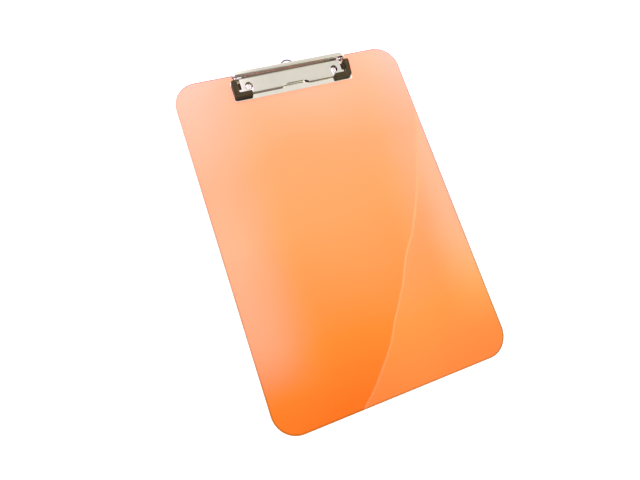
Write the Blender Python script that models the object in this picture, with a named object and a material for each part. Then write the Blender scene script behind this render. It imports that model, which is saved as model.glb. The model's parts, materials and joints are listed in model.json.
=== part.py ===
"""An A4 clipboard: translucent board, riveted low-profile spring clip with rubber corners, hanging loop.
Metres. The origin is the centre of the board's back face, +Z leaves the front, +Y points to the clip."""

import math

import bmesh
import bpy
from mathutils import Matrix, Vector

MM = 0.001
SIDES = (("left", -1), ("right", 1))

# Board
BOARD_W, BOARD_L, BOARD_T = 220.0, 315.0, 3.0
CORNER_R = 22.0
EDGE_R = 0.6
RIVET_X, RIVET_Y = 42.0, 142.6
HOLE_R, SEAT_R, SEAT_DEPTH = 2.2, 4.8, 1.5

# Clip base, heights from the board's front face
BASE_HALF, BASE_FRONT, BASE_SIDE_BACK, BASE_BACK = 57.9, 130.4, 149.8, 156.8
BASE_T, BASE_LIFT = 0.8, 0.05
EAR_IN, EAR_OUT, EAR_R = 53.6, 54.4, 3.1
CHANNEL_HALF, CHANNEL_IN, CHANNEL_NARROW = 10.6, 9.3, 7.75
CHANNEL_FRONT, CHANNEL_STOP, CHANNEL_RISE, CHANNEL_WALL = 136.6, 152.6, 0.95, 0.9
EAR_BEND, EAR_ROOT, EAR_SLIT = 0.9, 51.9, 0.3

# Hinge
PIVOT_Y, PIVOT_Z = 153.5, 3.9
ROD_R, ROD_PLAY, ROD_END, ROD_HEAD_R = 1.1, 0.06, 55.3, 1.75

# Jaw: JAW_LINE is the sheet's middle line in the side view, as (y, height above the board)
SHEET = 0.8
JAW_LINE = ((135.6, 1.1), (135.75, 2.35), (150.5, 3.85), (152.35, 8.35), (155.55, 7.45), (155.75, 6.7))
JAW_BENDS = (0.75, 1.5, 1.1, 0.6)
LIP_HALF, PLATE_HALF, LEVER_HALF, TAB_HALF = 40.2, 49.3, 52.3, 54.5
JAW_EAR_IN, JAW_EAR_OUT, JAW_EAR_R = 51.2, 52.0, 2.6
TAB_LIP, TAB_IN, TAB_FRONT, TAB_BACK = 137.6, 44.0, 136.5, 140.2
RELIEF_IN, RELIEF_OUT, RELIEF_LOW, RELIEF_HIGH, RELIEF_R = 46.6, 53.0, 4.42, 6.6, 0.85
NOTCH_X, NOTCH_HALF, NOTCH_TOP_HALF, NOTCH_FRONT, NOTCH_BACK = 2.0, 13.5, 8.5, 135.2, 138.0
VIEW_HOLE_R = 3.6

# Rubber corners
PAD_OUT, PAD_IN, PAD_END, PAD_FRONT, PAD_INNER, PAD_BACK = 57.4, 52.4, 40.5, 132.8, 136.9, 148.7
PAD_TOP = ((130.0, 4.9), (134.6, 5.15), (136.9, 5.9), (140.0, 6.9), (143.5, 7.8), (146.6, 8.3),
           (147.8, 7.9), (151.0, 5.0))
PAD_FOOT, PAD_EDGE = 0.92, 0.55
SOLE_T, SOLE_IN, SOLE_OUT, SOLE_FRONT, SOLE_BACK = 0.85, 46.2, 54.6, 134.9, 147.4

# Rivets and washers, as (radius, height) turned about their line; a head's heights start on the base
RIVET_SEAT = 0.04
RIVET_HEAD = ((0, 0.62), (0.55, 0.6), (0.95, 0.85), (1.35, 0.95), (1.9, 0.88), (2.4, 0.68), (2.8, 0.38),
              (2.95, 0.12), (2.9, 0), (2.05, 0))
RIVET_TAIL = ((2.05, 1.0), (3.2, 0.95), (3.55, 0.75), (3.5, 0.45), (3.1, 0.28), (1.9, 0.3), (1.45, 0.55),
              (1.3, 0.95), (1.3, 2.4), (0, 2.6))
WASHER = ((2.3, 1.05), (4.5, 1.05), (4.6, 1.12), (4.6, 1.38), (4.5, 1.45), (2.3, 1.45))

# Hanging loop
LOOP_R, LOOP_HOLE_R, LOOP_Y, LOOP_T, LOOP_LIFT = 7.5, 5.8, 155.6, 0.75, 0.09
TONGUE_HALF, SHOULDER_HALF, TONGUE_FRONT, SHOULDER_BACK = 7.3, 8.9, 137.8, 141.2

# Springs
COIL_R, WIRE_R, COIL_TURNS, COIL_START, COIL_PITCH = 1.83, 0.42, 6, 22.0, 0.98
LEG = ((-7.6, -2.42), (-6.2, -2.38), (-4.2, -2.15), (-2.2, -1.93))


def clear_scene():
    for obj in list(bpy.data.objects):
        bpy.data.objects.remove(obj, do_unlink=True)


def new_object(name, bm):
    bmesh.ops.recalc_face_normals(bm, faces=bm.faces)
    mesh = bpy.data.meshes.new(name)
    bm.to_mesh(mesh)
    bm.free()
    obj = bpy.data.objects.new(name, mesh)
    bpy.context.scene.collection.objects.link(obj)
    return obj


def loft(name, rings):
    """Closed body through rings with the same number of points, in millimetres."""
    bm = bmesh.new()
    made = [[bm.verts.new(Vector(p) * MM) for p in ring] for ring in rings]
    count = len(made[0])
    for low, high in zip(made, made[1:]):
        for i in range(count):
            j = (i + 1) % count
            bm.faces.new((low[i], low[j], high[j], high[i]))
    bm.faces.new(made[0][::-1])
    bm.faces.new(made[-1])
    return new_object(name, bm)


def prism_z(name, outline, low, high):
    return loft(name, [[(x, y, z) for x, y in outline] for z in (low, high)])


def prism_x(name, outline, low, high):
    return loft(name, [[(x, y, z) for y, z in outline] for x in (low, high)])


def prism_y(name, outline, low, high):
    return loft(name, [[(x, y, z) for x, z in outline] for y in (low, high)])


def box(name, low, high):
    outline = [(low[0], low[1]), (high[0], low[1]), (high[0], high[1]), (low[0], high[1])]
    return prism_z(name, outline, low[2], high[2])


def disc(centre, radius, count):
    return [
        (
            centre[0] + radius * math.cos(2 * math.pi * i / count),
            centre[1] + radius * math.sin(2 * math.pi * i / count),
        )
        for i in range(count)
    ]


def rounded(points, radii, steps=6):
    """A polygon with each corner replaced by an arc of its own radius."""
    out = []
    count = len(points)
    for i in range(count):
        here = Vector(points[i])
        before = Vector(points[i - 1]) - here
        after = Vector(points[(i + 1) % count]) - here
        radius = radii[i] if isinstance(radii, (list, tuple)) else radii
        if radius <= 0:
            out.append(tuple(here))
            continue
        half = before.angle(after) / 2
        reach = radius / math.tan(half)
        start, end = here + before.normalized() * reach, here + after.normalized() * reach
        centre = here + (before.normalized() + after.normalized()).normalized() * (radius / math.sin(half))
        a, b = start - centre, end - centre
        turn = a.angle_signed(b)
        for k in range(steps + 1):
            spun = Matrix.Rotation(-turn * k / steps, 2) @ a
            out.append(tuple(centre + spun))
    return out


def arc_line(points, radii, steps=8):
    """An open line with rounded corners."""
    out = [tuple(points[0])]
    for i in range(1, len(points) - 1):
        here = Vector(points[i])
        before = (Vector(points[i - 1]) - here).normalized()
        after = (Vector(points[i + 1]) - here).normalized()
        half = before.angle(after) / 2
        reach = radii[i - 1] / math.tan(half)
        centre = here + (before + after).normalized() * (radii[i - 1] / math.sin(half))
        a, b = here + before * reach - centre, here + after * reach - centre
        turn = a.angle_signed(b)
        for k in range(steps + 1):
            out.append(tuple(centre + Matrix.Rotation(-turn * k / steps, 2) @ a))
    out.append(tuple(points[-1]))
    return out


def thickened(line, thickness):
    """The outline of a sheet whose centre is the line."""
    left, right = [], []
    for i, point in enumerate(line):
        a = Vector(line[max(i - 1, 0)])
        b = Vector(line[min(i + 1, len(line) - 1)])
        normal = (b - a).normalized().orthogonal()
        left.append(tuple(Vector(point) + normal * thickness / 2))
        right.append(tuple(Vector(point) - normal * thickness / 2))
    return left + right[::-1]


def apply_modifiers(obj):
    graph = bpy.context.evaluated_depsgraph_get()
    mesh = bpy.data.meshes.new_from_object(obj.evaluated_get(graph))
    old = obj.data
    obj.modifiers.clear()
    obj.data = mesh
    bpy.data.meshes.remove(old)


def boolean(obj, others, operation):
    for other in others:
        step = obj.modifiers.new(operation.title(), "BOOLEAN")
        step.operation = operation
        step.solver = "EXACT"
        step.object = other
        apply_modifiers(obj)
        bpy.data.objects.remove(other, do_unlink=True)
    return obj


def cut(obj, *others):
    return boolean(obj, others, "DIFFERENCE")


def join(obj, *others):
    return boolean(obj, others, "UNION")


def meet(obj, *others):
    return boolean(obj, others, "INTERSECT")


def bevel(obj, width, segments=2, angle=35):
    step = obj.modifiers.new("Bevel", "BEVEL")
    step.width = width * MM
    step.segments = segments
    step.limit_method = "ANGLE"
    step.angle_limit = math.radians(angle)
    step.use_clamp_overlap = True
    apply_modifiers(obj)
    return obj


def rod_x(name, y, z, radius, low, high, count=32):
    return prism_x(name, disc((y, z), radius, count), low, high)


def lathe(name, profile, centre, count=40):
    """Turns (radius, height) pairs, given from the axis to the axis, about a vertical line."""
    bm = bmesh.new()
    rings = []
    for radius, height in profile:
        if radius == 0:
            rings.append([bm.verts.new(Vector((centre[0], centre[1], height)) * MM)])
        else:
            ring = disc(centre, radius, count)
            rings.append([bm.verts.new(Vector((x, y, height)) * MM) for x, y in ring])
    for low, high in zip(rings, rings[1:]):
        for i in range(count):
            j = (i + 1) % count
            if len(low) == 1:
                bm.faces.new((low[0], high[j], high[i]))
            elif len(high) == 1:
                bm.faces.new((low[i], low[j], high[0]))
            else:
                bm.faces.new((low[i], low[j], high[j], high[i]))
    return new_object(name, bm)


def ring_body(name, profile, centre, count=40):
    """A closed (radius, height) loop turned about a vertical line."""
    bm = bmesh.new()
    rings = [
        [bm.verts.new(Vector((x, y, height)) * MM) for x, y in disc(centre, radius, count)]
        for radius, height in profile
    ]
    for k, low in enumerate(rings):
        high = rings[(k + 1) % len(rings)]
        for i in range(count):
            j = (i + 1) % count
            bm.faces.new((low[i], low[j], high[j], high[i]))
    return new_object(name, bm)


def finish(obj, colour, metallic, roughness, origin=None, flat_below=40):
    """Gives an object its material, its origin and smooth shading between faces of a small angle."""
    material = bpy.data.materials.new(obj.name)
    material.use_nodes = True
    shader = material.node_tree.nodes["Principled BSDF"]
    shader.inputs["Base Color"].default_value = (*colour, 1)
    shader.inputs["Metallic"].default_value = metallic
    shader.inputs["Roughness"].default_value = roughness
    obj.data.materials.clear()
    obj.data.materials.append(material)
    if origin:
        shift = Vector(origin) * MM
        obj.data.transform(Matrix.Translation(-shift))
        obj.location = shift
    obj.data.shade_smooth()
    bm = bmesh.new()
    bm.from_mesh(obj.data)
    for edge in bm.edges:
        if len(edge.link_faces) == 2 and edge.calc_face_angle() > math.radians(flat_below):
            edge.smooth = False
    bm.to_mesh(obj.data)
    bm.free()


ORANGE, STEEL, RUBBER = (0.95, 0.3, 0.06), (0.75, 0.74, 0.68), (0.02, 0.017, 0.014)
FRONT = BOARD_T
HINGE = (0, PIVOT_Y, FRONT + PIVOT_Z)


def make_board():
    def outline(inset):
        x, y = BOARD_W / 2 - inset, BOARD_L / 2 - inset
        return rounded([(-x, -y), (x, -y), (x, y), (-x, y)], CORNER_R - inset, 20)

    rings = []
    for k in range(5):
        turn = math.radians(22.5 * k)
        inset, rise = EDGE_R * (1 - math.sin(turn)), EDGE_R * (1 - math.cos(turn))
        rings.append((inset, rise))
    rings += [(inset, BOARD_T - rise) for inset, rise in rings[::-1]]
    board = loft("board", [[(x, y, z) for x, y in outline(inset)] for inset, z in rings])
    for _, side in SIDES:
        centre = (side * RIVET_X, RIVET_Y)
        cut(board, prism_z("hole", disc(centre, HOLE_R, 32), -1, BOARD_T + 1))
        cut(board, prism_z("seat", disc(centre, SEAT_R, 40), -1, SEAT_DEPTH))
    finish(board, ORANGE, 0, 0.2)


def make_base():
    """A flat plate with an ear bent up at each end and a raised channel for the hanging loop's tongue."""
    low, back = FRONT + BASE_LIFT, BASE_BACK
    top, middle = low + BASE_T, low + BASE_T / 2
    side = [(BASE_HALF, BASE_FRONT), (BASE_HALF, BASE_SIDE_BACK), (EAR_OUT, BASE_SIDE_BACK),
            (EAR_OUT, back)]
    outline = rounded(side + [(-x, y) for x, y in side[::-1]], [1.6, 1.2, 0.4, 0, 0, 0.4, 1.2, 1.6], 5)
    base = prism_z("clip_base", outline, low, top)
    ear_x = (EAR_IN + EAR_OUT) / 2
    for _, s in SIDES:
        bend = arc_line([(EAR_ROOT - 1.5, middle), (ear_x, middle), (ear_x, HINGE[2])], [EAR_BEND])
        wall = thickened(bend, BASE_T)
        wall = [(s * x, z) for x, z in (wall if s > 0 else wall[::-1])]
        low_x, high_x = sorted((s * EAR_ROOT, s * (BASE_HALF + 2)))
        cut(base, box("edge", (low_x, PIVOT_Y - EAR_R - EAR_SLIT, low - 1), (high_x, back + 1, top + 1)))
        ear = prism_y("ear", wall, PIVOT_Y - EAR_R + 0.2, PIVOT_Y + EAR_R - 0.2)
        join(ear, rod_x("cap", HINGE[1], HINGE[2], EAR_R, *sorted((s * EAR_IN, s * EAR_OUT)), 48))
        join(base, ear)
    foot, roof = CHANNEL_HALF + CHANNEL_WALL, CHANNEL_HALF - 0.2
    bridge = [(foot, low + 0.1), (foot, low + 0.7), (roof, top + CHANNEL_RISE), (-roof, top + CHANNEL_RISE),
              (-foot, low + 0.7), (-foot, low + 0.1)]
    join(base, bevel(prism_y("bridge", bridge, CHANNEL_FRONT, back - 0.01), 0.35, 2, 25))
    ceiling, inside = low + CHANNEL_RISE, CHANNEL_FRONT + CHANNEL_WALL
    cut(base, box("inside", (-CHANNEL_IN, inside, low - 1), (CHANNEL_IN, CHANNEL_STOP, ceiling)))
    cut(base, box("mouth", (-CHANNEL_NARROW, CHANNEL_STOP - 1, low - 1),
                  (CHANNEL_NARROW, back + 1, ceiling)))
    for _, s in SIDES:
        cut(base, prism_z("hole", disc((s * RIVET_X, RIVET_Y), HOLE_R, 32), low - 1, top + 1))
    cut(base, rod_x("bore", HINGE[1], HINGE[2], ROD_R + ROD_PLAY, -60, 60, 40))
    finish(base, STEEL, 1, 0.2)


def make_rod():
    """A pin whose two ends are headed over outside the base's ears."""
    ring = []
    for x, radius in ((-ROD_END - 0.1, ROD_HEAD_R - 0.45), (-ROD_END + 0.1, ROD_HEAD_R),
                      (-EAR_OUT - 0.1, ROD_HEAD_R), (-EAR_OUT - 0.1, ROD_R)):
        ring.append((x, radius))
    ring += [(-x, radius) for x, radius in ring[::-1]]
    rings = [[(x, y, z) for y, z in disc((0, 0), radius, 40)] for x, radius in ring]
    rod = loft("hinge_rod", rings)
    rod.data.transform(Matrix.Translation(Vector(HINGE) * MM))
    finish(rod, STEEL, 1, 0.25, HINGE)


def make_jaw():
    """One bent sheet: lip, plate, wall and lever, with an ear on the rod at each end."""
    line = arc_line([(y, FRONT + height) for y, height in JAW_LINE], JAW_BENDS, 5)
    jaw = prism_x("clamp_jaw", thickened(line, SHEET), -60, 60)
    side = [(LIP_HALF, 133), (LIP_HALF, TAB_LIP), (TAB_IN, TAB_LIP), (TAB_IN, TAB_FRONT),
            (TAB_HALF, TAB_FRONT), (TAB_HALF, TAB_BACK), (PLATE_HALF, TAB_BACK), (PLATE_HALF, 149.9),
            (LEVER_HALF, 151.1), (LEVER_HALF, 158)]
    radii = [0, 0.8, 0.4, 0.4, 0.8, 0.4, 0.6, 0.6, 0.6, 0]
    outline = rounded(side + [(-x, y) for x, y in side[::-1]], radii + radii[::-1], 4)
    meet(jaw, prism_z("plan", outline, 0, 20))
    low, high, reach = FRONT + RELIEF_LOW, FRONT + RELIEF_HIGH, JAW_EAR_R - 0.2
    for _, s in SIDES:
        cut(jaw, prism_z("hole", disc((s * RIVET_X, RIVET_Y), VIEW_HOLE_R, 40), 0, 20))
        relief = [(s * RELIEF_IN, low), (s * RELIEF_OUT, low), (s * RELIEF_OUT, high),
                  (s * RELIEF_IN, high)]
        cut(jaw, prism_y("relief", rounded(relief, [RELIEF_R, 0, 0, RELIEF_R], 3), 149.4, 152.9))
        ear = [(151.9, FRONT + 7.95), (155.2, FRONT + 7.2), (PIVOT_Y + reach, HINGE[2]),
               (PIVOT_Y + 1.2, HINGE[2] - 1), (PIVOT_Y - 1.2, HINGE[2] - 1), (PIVOT_Y - reach, HINGE[2])]
        span = sorted((s * JAW_EAR_IN, s * JAW_EAR_OUT))
        plate = prism_x("ear", ear, *span)
        join(plate, rod_x("cap", HINGE[1], HINGE[2], JAW_EAR_R, *span, 48))
        join(jaw, plate)
    notch = [(-NOTCH_HALF, 134), (NOTCH_HALF, 134), (NOTCH_HALF, NOTCH_FRONT), (NOTCH_TOP_HALF, NOTCH_BACK),
             (-NOTCH_TOP_HALF, NOTCH_BACK), (-NOTCH_HALF, NOTCH_FRONT)]
    notch = rounded([(NOTCH_X + x, y) for x, y in notch], [0, 0, 0, 5, 5, 0], 8)
    cut(jaw, prism_z("notch", notch, 0, 20))
    cut(jaw, rod_x("bore", HINGE[1], HINGE[2], ROD_R + ROD_PLAY, -60, 60, 40))
    finish(jaw, STEEL, 1, 0.15, HINGE)


def make_pad(word, s):
    """An L-shaped rubber wedge with a slot for the jaw's tab and a thin sole under the plate."""
    low = FRONT + PAD_FOOT
    outline = [(PAD_END, PAD_FRONT), (PAD_OUT, PAD_FRONT), (PAD_OUT, PAD_BACK), (PAD_IN, PAD_BACK),
               (PAD_IN, PAD_INNER), (PAD_END, PAD_INNER)]
    outline = rounded(outline, [0.7, 1.8, 1.4, 0.8, 0.5, 0.7], 5)
    if s < 0:
        outline = [(-x, y) for x, y in outline[::-1]]
    pad = prism_z(f"corner_pad_{word}", outline, low, FRONT + 12)
    slope = [(y, FRONT + height) for y, height in PAD_TOP]
    slope = [(slope[0][0], FRONT), *slope, (slope[-1][0], FRONT)]
    meet(pad, prism_x("slope", slope, -60, 60))
    bevel(pad, PAD_EDGE, 3, 28)
    inner, outer = s * SOLE_IN, s * SOLE_OUT
    sole = rounded([(inner, SOLE_FRONT), (outer, SOLE_FRONT), (outer, SOLE_BACK), (s * 48.4, SOLE_BACK),
                    (inner, 141)], [0.5, 0, 0, 1.2, 1.5], 4)
    join(pad, prism_z("sole", sole if s > 0 else sole[::-1], low, low + SOLE_T))
    slot = thickened([(136.1, FRONT + 2.39), (140.6, FRONT + 2.84)], SHEET + 0.3)
    cut(pad, prism_x("slot", slot, *sorted((s * (TAB_IN - 0.4), s * (TAB_HALF + 0.3)))))
    finish(pad, RUBBER, 0, 0.45, HINGE)


def make_rivet(word, s):
    """A hollow rivet through base and board, clinched over a washer in the board's back."""
    centre = (s * RIVET_X, RIVET_Y)
    seat = FRONT + BASE_LIFT + BASE_T + RIVET_SEAT
    profile = [(radius, seat + height) for radius, height in RIVET_HEAD] + list(RIVET_TAIL)
    finish(lathe(f"rivet_{word}", profile, centre), STEEL, 1, 0.2, (*centre, 0), 50)
    finish(ring_body(f"rivet_washer_{word}", WASHER, centre), STEEL, 1, 0.25, (*centre, 0))


def make_spring(word, s):
    """Coil about the rod, one leg on the base and one under the lever. Mirrored for the other side."""
    path = [Vector((0, y, z)) for y, z in LEG]
    steps = 16
    total = steps * COIL_TURNS + 6
    for k in range(total + 1):
        angle = -math.pi / 2 + 2 * math.pi * k / steps
        path.append(Vector((COIL_PITCH * k / steps, COIL_R * math.cos(angle), COIL_R * math.sin(angle))))
    last, before = path[-1], path[-2]
    ahead = (last - before).normalized()
    path += [last + ahead * 0.6, last + ahead * 1.0]
    count = 8
    bm = bmesh.new()
    rings = []
    for i, point in enumerate(path):
        along = (path[min(i + 1, len(path) - 1)] - path[max(i - 1, 0)]).normalized()
        across = Vector((1, 0, 0))
        across = (across - along * across.dot(along)).normalized()
        third = along.cross(across)
        ring = []
        for k in range(count):
            a = 2 * math.pi * k / count
            spot = point + WIRE_R * (across * math.cos(a) + third * math.sin(a))
            spot = Vector((s * (COIL_START + spot.x), spot.y, spot.z)) + Vector(HINGE)
            ring.append(bm.verts.new(spot * MM))
        rings.append(ring)
    for low, high in zip(rings, rings[1:]):
        for k in range(count):
            j = (k + 1) % count
            bm.faces.new((low[k], low[j], high[j], high[k]))
    bm.faces.new(rings[0][::-1])
    bm.faces.new(rings[-1])
    finish(new_object(f"torsion_spring_{word}", bm), STEEL, 1, 0.3, HINGE, 60)


def make_loop():
    """A stamped eye on a flat tongue, whose shoulders keep it in the base's channel."""
    low = FRONT + LOOP_LIFT
    outline = [(-SHOULDER_HALF, TONGUE_FRONT), (SHOULDER_HALF, TONGUE_FRONT), (SHOULDER_HALF, SHOULDER_BACK),
               (TONGUE_HALF, SHOULDER_BACK), (TONGUE_HALF, LOOP_Y)]
    outline += [(LOOP_R * math.cos(math.radians(a)), LOOP_Y + LOOP_R * math.sin(math.radians(a)))
                for a in range(13, 180, 7)]
    outline += [(-TONGUE_HALF, LOOP_Y), (-TONGUE_HALF, SHOULDER_BACK), (-SHOULDER_HALF, SHOULDER_BACK)]
    loop = prism_z("hanger_loop", outline, low, low + LOOP_T)
    cut(loop, prism_z("eye", disc((0, LOOP_Y), LOOP_HOLE_R, 48), low - 1, low + 2))
    bevel(loop, 0.2, 2, 40)
    finish(loop, STEEL, 1, 0.25, (0, LOOP_Y, low))


clear_scene()
make_board()
make_base()
make_rod()
make_jaw()
for name_end, direction in SIDES:
    make_pad(name_end, direction)
    make_rivet(name_end, direction)
    make_spring(name_end, direction)
make_loop()
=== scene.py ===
"""Looks of the clipboard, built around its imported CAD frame.

Lengths are millimetres and a mesh turns to metres when it is made. The origin is the centre of the board's
back face, +Z leaves its front and +Y points to the clip. Most sheet pieces are laid out flat, as (across,
along) pairs, then bent into place.
"""

import json
import math

import bmesh
import bpy
from mathutils import Matrix, Vector, geometry


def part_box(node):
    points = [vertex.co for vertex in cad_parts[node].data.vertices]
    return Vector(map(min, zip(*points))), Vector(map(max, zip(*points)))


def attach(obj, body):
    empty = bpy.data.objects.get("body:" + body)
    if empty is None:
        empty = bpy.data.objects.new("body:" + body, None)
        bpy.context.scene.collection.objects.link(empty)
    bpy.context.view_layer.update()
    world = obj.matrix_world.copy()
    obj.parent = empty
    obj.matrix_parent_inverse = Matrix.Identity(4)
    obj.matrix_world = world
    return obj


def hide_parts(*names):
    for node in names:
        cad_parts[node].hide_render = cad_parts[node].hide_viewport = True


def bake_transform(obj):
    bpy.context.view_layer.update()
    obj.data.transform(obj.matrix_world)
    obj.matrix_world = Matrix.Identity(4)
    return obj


MM = 0.001
SIDES = (("left", -1), ("right", 1))

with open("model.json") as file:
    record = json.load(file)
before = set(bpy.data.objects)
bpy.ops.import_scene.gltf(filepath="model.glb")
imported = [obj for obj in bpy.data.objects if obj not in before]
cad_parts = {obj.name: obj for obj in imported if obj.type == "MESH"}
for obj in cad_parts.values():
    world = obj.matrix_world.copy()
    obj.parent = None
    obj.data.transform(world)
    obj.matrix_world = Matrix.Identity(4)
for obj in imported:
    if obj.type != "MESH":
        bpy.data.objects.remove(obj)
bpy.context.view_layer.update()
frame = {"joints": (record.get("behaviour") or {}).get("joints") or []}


def box_mm(node):
    low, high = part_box(node)
    return low / MM, high / MM


def hinge_point():
    joint = next(j for j in frame["joints"] if j["name"] == "jaw_hinge")
    return Vector(joint["pos_m"]) / MM


BOARD_HIGH = box_mm("board")[1]
BASE_LOW, BASE_HIGH = box_mm("clip_base")
JAW_HIGH = box_mm("clamp_jaw")[1]
PAD_LOW, PAD_HIGH = box_mm("corner_pad_right")
RIVET_LOW, RIVET_HIGH = box_mm("rivet_right")
ROD_HIGH = box_mm("hinge_rod")[1]
LOOP_LOW, LOOP_HIGH = box_mm("hanger_loop")
HINGE = hinge_point()
FRONT = BOARD_HIGH.z
RIVET_X, RIVET_Y = (RIVET_LOW.x + RIVET_HIGH.x) / 2, (RIVET_LOW.y + RIVET_HIGH.y) / 2

# Board
CORNER_R, EDGE_R, EDGE_STEPS = 22.0, 0.6, 8
HOLE_R, SEAT_R, SEAT_DEPTH = 2.2, 4.8, 1.5

# Sheet metal
SHEET_T, SHEET_EDGE = 0.8, 0.16
ROD_R, BORE_R = 1.1, 1.16
BEND_STEPS = 14

# Clip base
WING_BACK, EAR_ROOT, EAR_R, EAR_BEND, EAR_X = 149.8, 51.9, 3.1, 0.9, 54.0
CHANNEL_FRONT, CHANNEL_HALF, MOUTH_HALF, MOUTH_Y, CHANNEL_RISE = 136.2, 10.2, 8.6, 152.2, 0.95
CHANNEL_WALL, CHANNEL_RAMP, MOUTH_RAMP = 1.5, 1.6, 0.8
SLOPE_STEP = 0.02

# Jaw: corners of the sheet's middle line seen from the side, as (y, height above the board's front)
JAW_LINE = ((135.6, 1.1), (135.75, 2.35), (150.5, 3.85), (151.05, 5.9), (152.35, 8.35), (155.55, 7.45),
            (155.75, 6.7))
JAW_BENDS = (0.75, 1.5, 4.5, 1.2, 0.6)
LIP_HALF, TAB_IN, PLATE_HALF, LEVER_HALF = 40.2, 44.0, 49.3, JAW_HIGH.x - 2.2
TAB_HALF = JAW_HIGH.x
TAB_LIP, TAB_FRONT, TAB_BACK = 137.6, 136.5, 140.2
RELIEF_IN, RELIEF_LOW, RELIEF_HIGH = 46.6, 4.42, 6.6
NOTCH_X, NOTCH_HALF, NOTCH_TOP_HALF, NOTCH_FRONT, NOTCH_BACK = 2.0, 12.7, 8.5, 1.6, 138.0
VIEW_HOLE_R = 3.6
JAW_EAR_X, JAW_EAR_R = 51.6, 2.6
JAW_EAR_TOP = ((151.95, 7.9), (155.2, 7.0))

# Rubber corners: the top's height above the board's front, along y
PAD_TOP = ((131.5, 4.7), (134.6, 5.15), (136.9, 5.9), (140.0, 6.9), (143.5, 7.8), (146.3, 8.25),
           (148.0, 7.95), (149.5, 7.3))
PAD_IN, PAD_END, PAD_INNER, PAD_EDGE = 52.4, PAD_LOW.x, 136.9, 0.75
SOLE_T, SOLE_IN, SOLE_OUT, SOLE_FRONT, SOLE_BACK = 0.85, 46.2, 54.6, 134.9, 147.4
SOLE_CUT, SOLE_LIFT = (48.4, 141), 0.01
SLOT_FRONT, SLOT_SET, SLOT_LENGTH, SLOT_IN, SLOT_PAST, SLOT_PLAY = 136.1, 0.35, 4.5, 43.6, 0.3, 0.12

# Rivets and washers, as (radius, height) turned about their line. The head's heights start on the base.
RIVET_HEAD = ((0.0, 0.34), (0.5, 0.36), (0.95, 0.66), (1.4, 0.9), (1.95, 0.88), (2.45, 0.66), (2.8, 0.36),
              (2.92, 0.16), (2.84, 0.05))
RIVET_NECK = (2.05, 0.04)
RIVET_TAIL = ((2.05, 1.02), (2.7, 0.98), (3.25, 0.84), (3.5, 0.62), (3.4, 0.4), (3.0, 0.3), (2.3, 0.32),
              (1.7, 0.5), (1.42, 0.85), (1.35, 1.3))
RIVET_BORE = ((1.35, 2.35), (1.2, 2.5), (0, 2.55))
WASHER = ((2.3, 1.1), (2.36, 1.05), (4.44, 1.05), (4.56, 1.1), (4.6, 1.18), (4.6, 1.32), (4.56, 1.4),
          (4.44, 1.45), (2.36, 1.45), (2.3, 1.4))

# Hanging loop
LOOP_R, LOOP_HOLE_R = 7.5, 5.8
TONGUE_HALF, SHOULDER_HALF, SHOULDER_BACK = 7.3, 8.9, 141.2

# Springs
COIL_R, WIRE_R, COIL_TURNS, COIL_START, COIL_PITCH = 1.83, 0.42, 6, 22.0, 0.98
COIL_STEPS, WIRE_SIDES, LAST_TURN = 28, 14, 0.375
LEG = ((0, -7.6, -2.42), (0, -6.2, -2.38), (0, -4.2, -2.15), (0, -2.2, -1.95))

# The plastic's tint from its near end to the clip, with painted light and shade in it: deeper at the near
# end, paler towards the clip. Then what multiplies it in a strip along the border, a painted shade
TINTS_WITH_PAINTED_LIGHT = ((0, (1.0, 0.155, 0.005)), (0.22, (1.0, 0.226, 0.021)), (0.5, (1.0, 0.313, 0.10)),
         (0.7, (1.0, 0.328, 0.13)), (1, (1.0, 0.43, 0.29)))
# Painted shade: what multiplies the tint in the strip along the border
EDGE_PAINTED_SHADE = (0.47, 0.84, 1.0)
BORDER_IN, BORDER_OUT = 2.6, 0.9

# Camera, in metres
CAMERA_AT, CAMERA_LENS = (-0.12695, -0.07278, 0.38715), 25.885
CAMERA_LOOK, CAMERA_UP = (0.253, 0.152, -0.955), (0.278, 0.935, 0.222)

# Light, in metres: the tent round the scene, a card above it and the bright line along the card's edge
WARM, ROSE = (1, 0.985, 0.955), (1, 0.72, 1.15)
TENT_R, CARD_HEIGHT, RIM_DROP = 3.0, 1.0, 0.002
SKY_BASE, SKY_LEFT, SKY_RIGHT, SKY_FAR, SKY_RIM, SKY_DARK = 0.35, 2.3, 2.0, 0.52, 0.12, 0.55
CARD_NEAR = (1.4, 1.37, 1.0)
CARD_GLOW, CARD_RISE, RIM_GLOW, RIM_WIDTH = 1.3, 2.6, 3.2, 0.006
CARD_EDGE = ((0.80, 0.85), (0.75, 0.58), (0.70, 0.42), (0.655, 0.31), (0.604, 0.201), (0.548, 0.092),
             (0.475, -0.026), (0.388, -0.164), (0.310, -0.265), (0.236, -0.346), (0.15, -0.43))
CARD_BEYOND = ((0.9, -0.9), (1.3, -0.3), (1.2, 0.9))
FLOOR_HALF, FLOOR_DROP, FLOOR_GREY, FLOOR_GLOW, WORLD_GLOW = 4.0, 0.0006, 0.35, 1.15, 0.95


class Shape:
    """Points and faces of one mesh, in millimetres."""

    def __init__(self):
        self.points, self.faces = [], []

    def add(self, points):
        first = len(self.points)
        self.points += [Vector(p) for p in points]
        return list(range(first, len(self.points)))

    def bridge(self, low, high):
        for i in range(len(low)):
            j = (i + 1) % len(low)
            self.faces.append((low[i], low[j], high[j], high[i]))

    def made(self, name, sharp=None):
        """The object, shaded smooth. sharp is the angle past which an edge stays sharp."""
        mesh = bpy.data.meshes.new(name)
        mesh.from_pydata([p * MM for p in self.points], [], self.faces)
        bm = bmesh.new()
        bm.from_mesh(mesh)
        bmesh.ops.recalc_face_normals(bm, faces=bm.faces)
        bm.to_mesh(mesh)
        bm.free()
        obj = bpy.data.objects.new(name, mesh)
        bpy.context.scene.collection.objects.link(obj)
        return smoothed(obj, sharp)


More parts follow.
